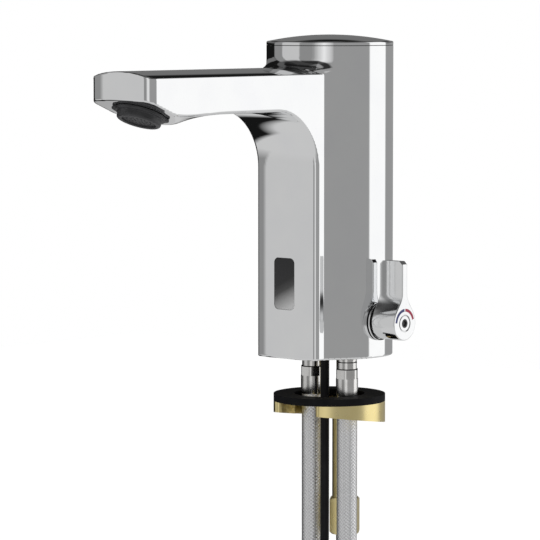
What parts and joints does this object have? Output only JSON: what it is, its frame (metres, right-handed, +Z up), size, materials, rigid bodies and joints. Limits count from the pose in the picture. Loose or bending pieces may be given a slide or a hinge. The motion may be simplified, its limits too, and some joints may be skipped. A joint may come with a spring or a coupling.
{
  "type": "electronic basin mixer tap",
  "caption": "Sensor basin mixer tap with a round tower, flat bar spout, side temperature lever, braided supply hoses and a horseshoe clamp for a single-hole basin.",
  "frame": {"origin": "centre of the round tower on the deck face, where the body stands on the basin", "axes": "+Z up along the tower, -Y along the spout towards the user, +X towards the temperature lever"},
  "size_m": [0.0743, 0.1703, 0.5759],
  "materials": {
    "chrome": "polished",
    "steel": "satin",
    "nickel": "bright plated",
    "braid": "braided",
    "brass": "machined",
    "plated_stud": "yellow passivated",
    "copper": "drawn",
    "rubber": "matt",
    "cable_jacket": "satin",
    "black_plastic": "satin",
    "white_plastic": "satin",
    "ceramic": "lapped ceramic",
    "sensor_glass": "dark, infrared clear",
    "green_board": "solder mask",
    "blue_mark": "enamel",
    "red_mark": "enamel"
  },
  "bodies": {
    "tap": {"body_shell": "chrome", "top_cap": "chrome", "cap_seal": "rubber", "inlet_manifold": "brass", "manifold_screws": "steel", "base_seal": "rubber", "cartridge_seal": "rubber", "cartridge_housing": "white_plastic", "fixed_disc": "ceramic", "cartridge_nut": "brass", "lever_base_ring": "chrome", "mixed_water_pipe": "copper", "valve_body": "white_plastic", "diaphragm": "rubber", "solenoid_coil": "black_plastic", "plunger_spring": "steel", "water_tube": "copper", "sensor_window": "sensor_glass", "sensor_module": "black_plastic", "ir_emitter": "sensor_glass", "ir_receiver": "sensor_glass", "control_board": "green_board", "aerator_shell": "black_plastic", "aerator_seal": "rubber", "flow_regulator": "white_plastic", "aerator_insert": "black_plastic", "mounting_stud": "plated_stud", "fitting_cold": "nickel", "fitting_hot": "nickel", "hose_cold": "braid", "hose_hot": "braid", "hose_tail_cold": "nickel", "hose_tail_hot": "nickel", "union_seal_cold": "rubber", "union_seal_hot": "rubber", "cable_gland": "rubber", "sensor_cable": "cable_jacket", "cable_plug": "black_plastic"},
    "lever_assembly": {"lever": "chrome", "lever_screw": "steel", "lever_cap": "chrome", "cold_mark": "blue_mark", "hot_mark": "red_mark", "spindle": "brass", "moving_disc": "ceramic"},
    "clamp": {"clamp_gasket": "rubber", "horseshoe_washer": "brass"},
    "clamp_nut": {"sleeve_nut": "brass"},
    "valve_plunger": {"plunger": "steel"},
    "cold_union": {"union_nut_cold": "nickel"},
    "hot_union": {"union_nut_hot": "nickel"}
  },
  "joints": [
    {"name": "lever_turn", "type": "hinge", "parent": "tap", "child": "lever_assembly", "pos_m": [0.038, 0, 0.0168], "axis": [1, 0, 0], "range_deg": [-45, 45]},
    {"name": "clamp_slide", "type": "slide", "parent": "tap", "child": "clamp", "axis": [0, 0, 1], "range_m": [-0.008, 0.018]},
    {"name": "nut_turn", "type": "hinge", "parent": "clamp", "child": "clamp_nut", "pos_m": [0, 0.0112, -0.05], "axis": [0, 0, 1], "range_deg": [-2304, 5184]},
    {"name": "plunger_slide", "type": "slide", "parent": "tap", "child": "valve_plunger", "axis": [0, 0, 1], "range_m": [0, 0.0015], "stiffness_N_per_m": 300, "springref_m": -0.002, "deforming": ["plunger_spring"]},
    {"name": "cold_union_spin", "type": "hinge", "parent": "tap", "child": "cold_union", "pos_m": [-0.0175, 0, -0.34], "axis": [0, 0, 1], "continuous": true},
    {"name": "hot_union_spin", "type": "hinge", "parent": "tap", "child": "hot_union", "pos_m": [0.0175, 0, -0.34], "axis": [0, 0, 1], "continuous": true}
  ],
  "couplings": [
    {"joint": "nut_turn", "follows": "clamp_slide", "rad_per_m": 5026.5}
  ]
}
